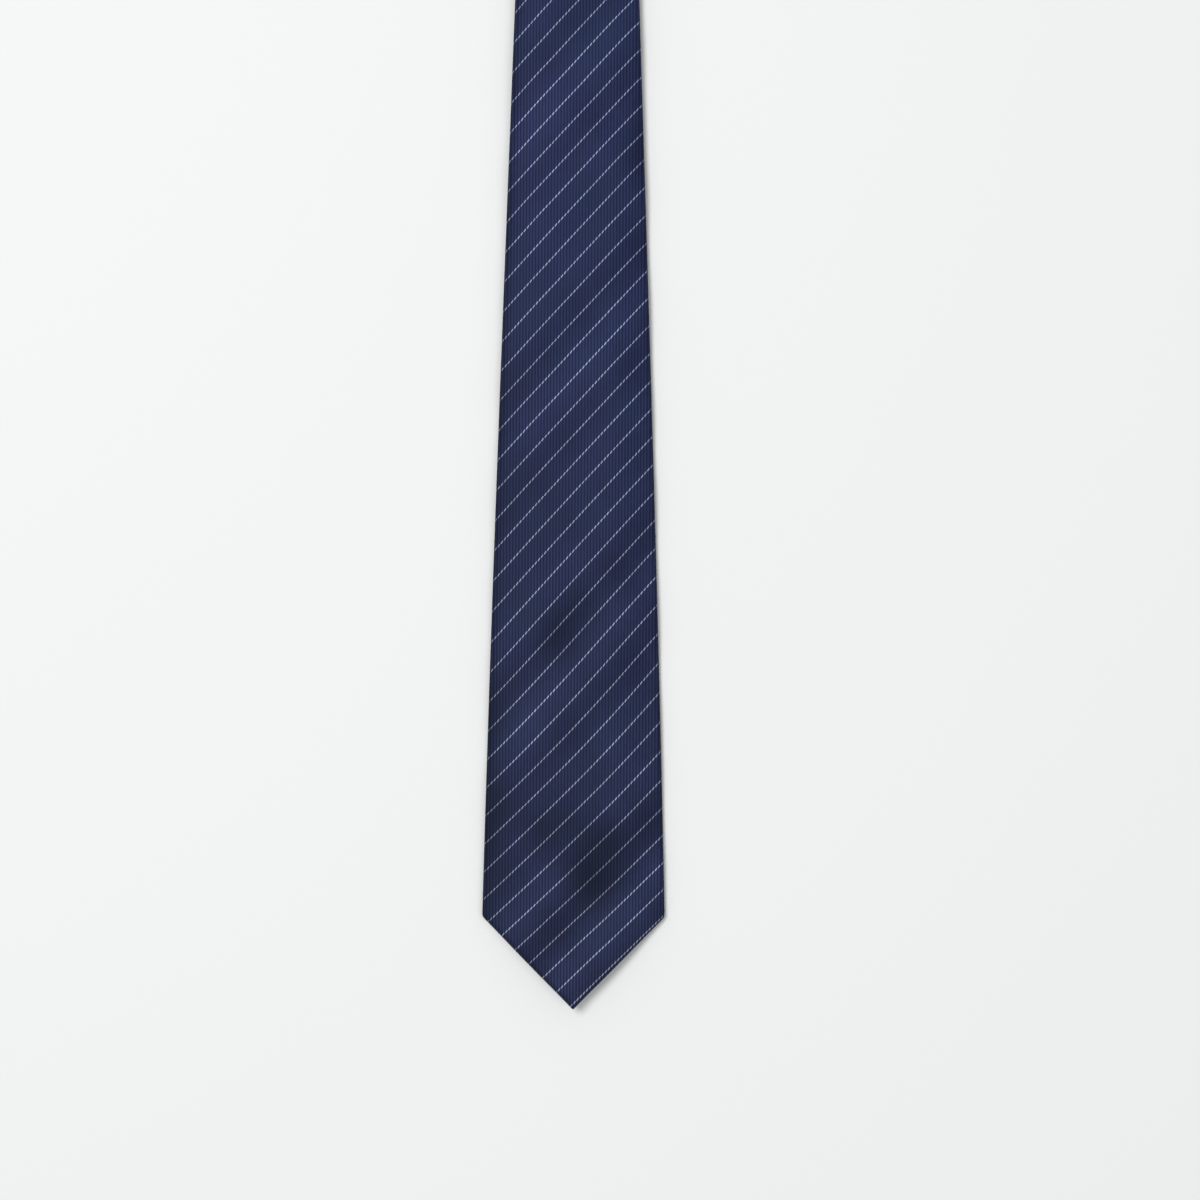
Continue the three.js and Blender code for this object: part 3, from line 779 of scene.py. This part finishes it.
def stitches(name, lines, size, seed):
    # lines are lists of points in millimetres; size holds the stitch's sizes, in millimetres and degrees
    guide = bpy.data.meshes.new(name)
    points = np.concatenate(lines) * millimetre
    ends = np.cumsum([len(line) for line in lines])
    edges = [(i, i + 1) for i in range(len(points) - 1) if i + 1 not in ends]
    guide.from_pydata(points.tolist(), edges, [])
    row = bpy.data.objects.new(name, guide)
    bpy.context.scene.collection.objects.link(row)
    modifier = row.modifiers.new("stitchRow", "NODES")
    modifier.node_group = stitchRow
    values = {"Pitch": size["pitch"] * millimetre, "Length": size["long"] * millimetre,
              "Radius": size["thick"] / 2 * millimetre, "Lean": math.radians(size["lean"]),
              "Wobble": math.radians(size["wobble"]), "Seed": seed, "Thread": finishes["thread"]}
    for item in stitchRow.interface.items_tree:
        if item.in_out == "INPUT" and item.name in values:
            modifier[item.identifier] = values[item.name]
    row.update_tag()
    bpy.context.view_layer.update()
    made = bpy.data.meshes.new_from_object(row.evaluated_get(bpy.context.evaluated_depsgraph_get()))
    row.modifiers.clear()
    row.data = made
    made.name = name
    return row


hemStitch = {"pitch": 3.2, "long": 1.7, "thick": 0.26, "lean": 35, "wobble": 8}
slipStitch = {"pitch": 6.0, "long": 3.6, "thick": 0.3, "lean": 20, "wobble": 10}
barTack = {"pitch": 0.42, "long": 3.0, "thick": 0.34, "lean": 90, "wobble": 4}
endTack = {"pitch": 0.5, "long": 1.6, "thick": 0.26, "lean": 90, "wobble": 12}
seamStitch = {"pitch": 2.1, "long": 1.8, "thick": 0.24, "lean": 0, "wobble": 3}


# where each row of stitches lies, in millimetres: its ends, its inset, and how far it stands off the cloth
sewing = {"hemStart": 12, "hemGap": 2, "hemGapAbove": 3, "hemStop": 6, "hemInset": 0.45, "proud": 0.1,
          "tackHalf": 4.5, "tackPoints": 10, "tackAbove": 10, "tackProud": 0.12,
          "slipSide": 5.5, "slipEnd": 20,
          "slipGap": 5.0, "seamHalf": 13, "seamPoints": 20, "loopHalf": 4.5, "loopPoints": 8,
          "labelHalf": 11,
          "labelPoints": 12, "labelProud": 0.08, "endInset": 1.5}


def sewBlade(blade, place, side, body, first):
    # tipping stitches either side of the opening, and the bar tack at its top
    along = places((sewing["hemStart"], blade["shoulder"] / 2, sewing["hemGap"]),
                   (blade["shoulder"] / 2, blade["tack"] - sewing["hemStop"], sewing["hemGapAbove"]))
    edge = opening(blade, along)
    deep = tippingDeep + cloth["tipping"] + sewing["proud"]
    for hand, name in ((-1, "left"), (1, "right")):
        line = place(hand * (edge - sewing["hemInset"]), along, deep + 0 * along)
        row = stitches(side + "HemStitches" + name.capitalize(), [line], hemStitch, first + hand)
        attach(row, body)
        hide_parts(side + "_tipping_stitch_" + name)
    x = np.linspace(-sewing["tackHalf"], sewing["tackHalf"], sewing["tackPoints"])
    line = place(x, blade["tack"] + sewing["tackAbove"] + 0 * x, bladeThick + sewing["tackProud"] + 0 * x)
    tack = stitches(side + "BarTack", [line], barTack, first + 2)
    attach(tack, body)
    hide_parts(side + "_bar_tack")


def slipLine(blade, place):
    # the long loose thread beside the lap at the centre back
    end = sewing["slipEnd"]
    along = np.arange(blade["tack"] + end, blade["seam"] - end, sewing["slipGap"])
    return place(sewing["slipSide"] + 0 * along, along, slipDeep + 0 * along)


def sewSeam(blade, place, side, body):
    # the diagonal seam that joins a blade to the neck piece
    x = np.linspace(-sewing["seamHalf"], sewing["seamHalf"], sewing["seamPoints"])
    line = place(x, blade["seam"] + x, seamDeep + 0 * x)
    seam = stitches(side + "SeamStitches", [line], seamStitch, 33)
    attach(seam, body)
    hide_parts(side + "_seam_stitch")


def sewEnd(name, hand, band, half, count, proud, stitch, seed, node):
    # a short row of stitches at one end of the loop or the label
    along = np.linspace(-half, half, count) + band["along"]
    x = hand * (band["reach"] - sewing["endInset"]) + 0 * along
    line = placeFront(x, along, ribbonLow + cloth["ribbon"] + proud + 0 * along)
    row = stitches(name, [line], stitch, seed)
    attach(row, "front_tip")
    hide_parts(node)


def makeStitches():
    sewBlade(front, placeFront, "front", "front_tip", 10)
    sewBlade(tail, placeTail, "tail", "tail_blade", 20)
    slip = stitches("frontSlipStitches", [slipLine(front, placeFront)], slipStitch, 31)
    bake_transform(slip)
    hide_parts("front_slip_stitch_tip", "front_slip_stitch_top")
    slip = stitches("tailSlipStitches", [slipLine(tail, placeTail)], slipStitch, 32)
    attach(slip, "tail_blade")
    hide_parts("tail_slip_stitch")
    sewSeam(front, placeFront, "front", "front_top")
    sewSeam(tail, placeTail, "tail", "tail_blade")
    for hand, name in ((-1, "left"), (1, "right")):
        sewEnd("loopTack" + name.capitalize(), hand, loop, sewing["loopHalf"], sewing["loopPoints"],
               sewing["proud"], endTack, 40 + hand, "keeper_loop_tack_" + name)
        sewEnd("labelStitches" + name.capitalize(), hand, label, sewing["labelHalf"], sewing["labelPoints"],
               sewing["labelProud"], hemStitch, 50 + hand, "woven_label_stitch_" + name)


makeStitches()
print("stitches")
